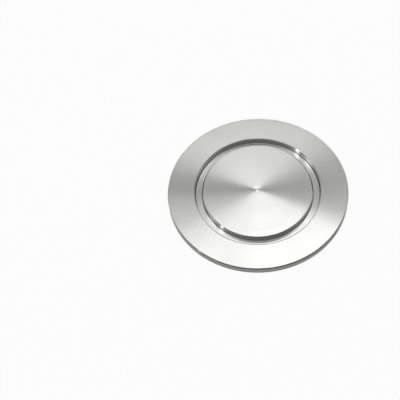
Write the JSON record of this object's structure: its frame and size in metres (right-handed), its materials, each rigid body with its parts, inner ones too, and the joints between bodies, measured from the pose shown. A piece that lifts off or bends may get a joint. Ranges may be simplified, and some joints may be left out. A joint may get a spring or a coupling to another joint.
{
  "type": "blind flange",
  "caption": "Round turned blanking flange with a flat sealing face, a centring groove round a level centre, and a bevelled back that a clamp closes over.",
  "frame": {"origin": "centre of the flat back face, where the flange lies on a surface", "axes": "+Z along the turning axis, out of the sealing face; +X and +Y across the flange"},
  "size_m": [0.075, 0.075, 0.005],
  "materials": {
    "turned_stainless_steel": "fine circular turning marks, bright"
  },
  "bodies": {
    "root": {"blind_flange": "turned_stainless_steel"}
  },
  "joints": []
}
